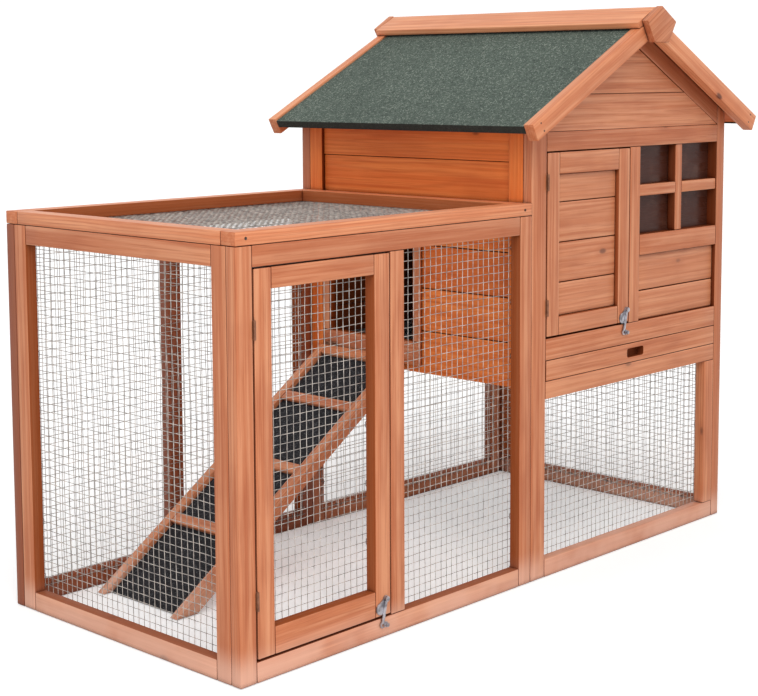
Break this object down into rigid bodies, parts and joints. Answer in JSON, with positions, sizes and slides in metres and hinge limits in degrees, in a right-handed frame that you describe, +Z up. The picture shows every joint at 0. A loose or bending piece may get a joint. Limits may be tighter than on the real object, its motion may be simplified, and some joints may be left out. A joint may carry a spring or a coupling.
{
  "type": "chicken coop",
  "caption": "Timber chicken coop: low wire-mesh run with a door, joined to a raised gabled house with felt roof, door, window, slide-out tray and hinged entry ramp.",
  "frame": {"origin": "on the ground, under the centre of the whole coop's box", "axes": "+X from the run's free end towards the house, +Y from the front (doors) to the back, +Z up"},
  "size_m": [1.2688, 0.6382, 0.9528],
  "materials": {
    "timber": "stained softwood, satin",
    "light_timber": "stained softwood, satin, paler where the light catches it",
    "inner_timber": "stained softwood, darker, satin",
    "wire_mesh": "galvanised wire",
    "fittings": "zinc plated, dulled",
    "nails": "dull steel",
    "pane": "smoked clear sheet",
    "roof_felt": "mineral-faced roofing felt, green-grey",
    "ramp_felt": "black mineral felt",
    "tray_pan": "galvanised sheet"
  },
  "bodies": {
    "coop": {"run_end_frame": "timber", "run_end_mesh": "wire_mesh", "run_front_frame": "timber", "run_front_mesh": "wire_mesh", "run_back_frame": "timber", "run_back_mesh": "wire_mesh", "run_roof_frame": "light_timber", "run_roof_mesh": "wire_mesh", "run_roof_nails": "nails", "front_left_post": "timber", "front_base_rail": "timber", "front_lower_stile": "timber", "tray_support_rail": "timber", "door_sill_rail": "timber", "front_mullion": "timber", "window_sill_rail": "timber", "window_muntins": "timber", "window_pane": "pane", "front_wall_boards": "timber", "front_top_rail": "timber", "front_gable_boards": "timber", "left_wall_stiles": "inner_timber", "left_wall_boards": "inner_timber", "doorway_trim": "timber", "right_wall_frame": "timber", "right_wall_boards": "timber", "back_wall_frame": "timber", "back_wall_boards": "timber", "back_gable_boards": "timber", "under_house_front_mesh": "wire_mesh", "under_house_right_mesh": "wire_mesh", "under_house_back_mesh": "wire_mesh", "tray_runners": "inner_timber", "gable_rafters": "timber", "roof_boards": "inner_timber", "roof_felt": "roof_felt", "front_bargeboards": "light_timber", "back_bargeboards": "light_timber", "ridge_cap_boards": "light_timber", "ridge_end_plates": "timber", "hinge_fixed_leaves": "fittings", "hinge_pins": "fittings", "latch_keepers": "fittings"},
    "run_door": {"run_door_frame": "timber", "run_door_mesh": "wire_mesh", "run_door_hinge_leaves": "fittings", "run_latch_plate": "fittings"},
    "run_latch": {"run_latch_hook": "fittings"},
    "house_door": {"house_door_frame": "timber", "house_door_boards": "timber", "house_door_hinge_leaves": "fittings", "house_latch_plate": "fittings"},
    "house_latch": {"house_latch_hook": "fittings"},
    "tray": {"tray_front": "timber", "tray_pan": "tray_pan"},
    "ramp": {"ramp_rails": "timber", "ramp_board": "inner_timber", "ramp_felt": "ramp_felt", "ramp_battens": "timber", "ramp_hinge_leaves": "fittings"}
  },
  "joints": [
    {"name": "run_door_hinge", "type": "hinge", "parent": "coop", "child": "run_door", "pos_m": [-0.6029, -0.2695, 0.305], "axis": [0, 0, 1], "range_deg": [-170, 0]},
    {"name": "run_latch_turn", "type": "hinge", "parent": "run_door", "child": "run_latch", "pos_m": [-0.3454, -0.2695, 0.059], "axis": [0, 1, 0], "range_deg": [-13, 80]},
    {"name": "house_door_hinge", "type": "hinge", "parent": "coop", "child": "house_door", "pos_m": [0.0451, -0.2695, 0.56], "axis": [0, 0, 1], "range_deg": [-170, 0]},
    {"name": "house_latch_turn", "type": "hinge", "parent": "house_door", "child": "house_latch", "pos_m": [0.2716, -0.2695, 0.428], "axis": [0, 1, 0], "range_deg": [-13, 80]},
    {"name": "tray_slide", "type": "slide", "parent": "coop", "child": "tray", "axis": [0, -1, 0], "range_m": [0, 0.4]},
    {"name": "ramp_hinge", "type": "hinge", "parent": "coop", "child": "ramp", "pos_m": [0.0036, 0.1175, 0.352], "axis": [0, 1, 0], "range_deg": [0, 20]}
  ]
}
